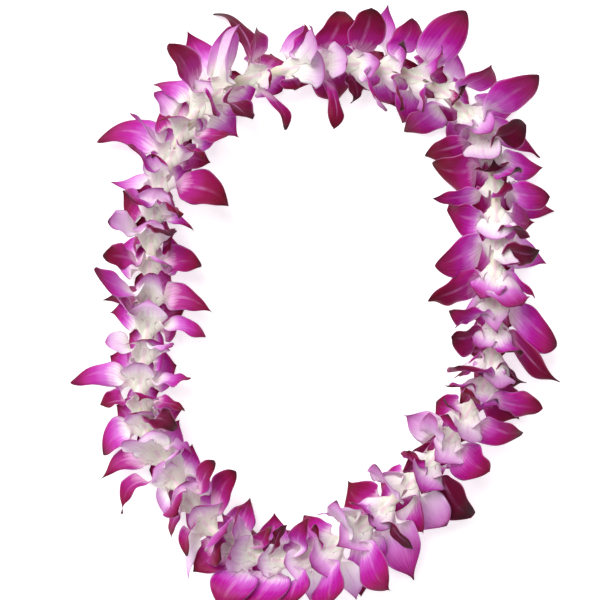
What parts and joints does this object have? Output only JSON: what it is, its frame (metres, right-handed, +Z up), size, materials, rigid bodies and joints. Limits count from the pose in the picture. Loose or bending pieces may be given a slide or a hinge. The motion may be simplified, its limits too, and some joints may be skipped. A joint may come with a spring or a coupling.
{
  "type": "flower lei",
  "caption": "Closed strand of orchid blossoms threaded through their throats, all facing one way round, lying flat as an open loop.",
  "frame": {"origin": "centre of the loop's bounding box, on the surface that the lei lies on", "axes": "+Y along the loop's long way towards its narrow neck, +X across the loop, +Z up, seen face on by the picture's camera"},
  "size_m": [0.3396, 0.4268, 0.0549],
  "materials": {
    "petal": "satin",
    "thread": "matte"
  },
  "bodies": {
    "root": {"blossom_01": "petal", "blossom_02": "petal", "blossom_03": "petal", "blossom_04": "petal", "blossom_05": "petal", "blossom_06": "petal", "blossom_07": "petal", "blossom_08": "petal", "blossom_09": "petal", "blossom_10": "petal", "blossom_11": "petal", "blossom_12": "petal", "blossom_13": "petal", "blossom_14": "petal", "blossom_15": "petal", "blossom_16": "petal", "blossom_17": "petal", "blossom_18": "petal", "blossom_19": "petal", "blossom_20": "petal", "blossom_21": "petal", "blossom_22": "petal", "blossom_23": "petal", "blossom_24": "petal", "blossom_25": "petal", "blossom_26": "petal", "blossom_27": "petal", "blossom_28": "petal", "blossom_29": "petal", "blossom_30": "petal", "blossom_31": "petal", "blossom_32": "petal", "blossom_33": "petal", "blossom_34": "petal", "blossom_35": "petal", "blossom_36": "petal", "blossom_37": "petal", "blossom_38": "petal", "blossom_39": "petal", "blossom_40": "petal", "blossom_41": "petal", "blossom_42": "petal", "blossom_43": "petal", "blossom_44": "petal", "blossom_45": "petal", "blossom_46": "petal", "blossom_47": "petal", "thread": "thread"}
  },
  "joints": []
}
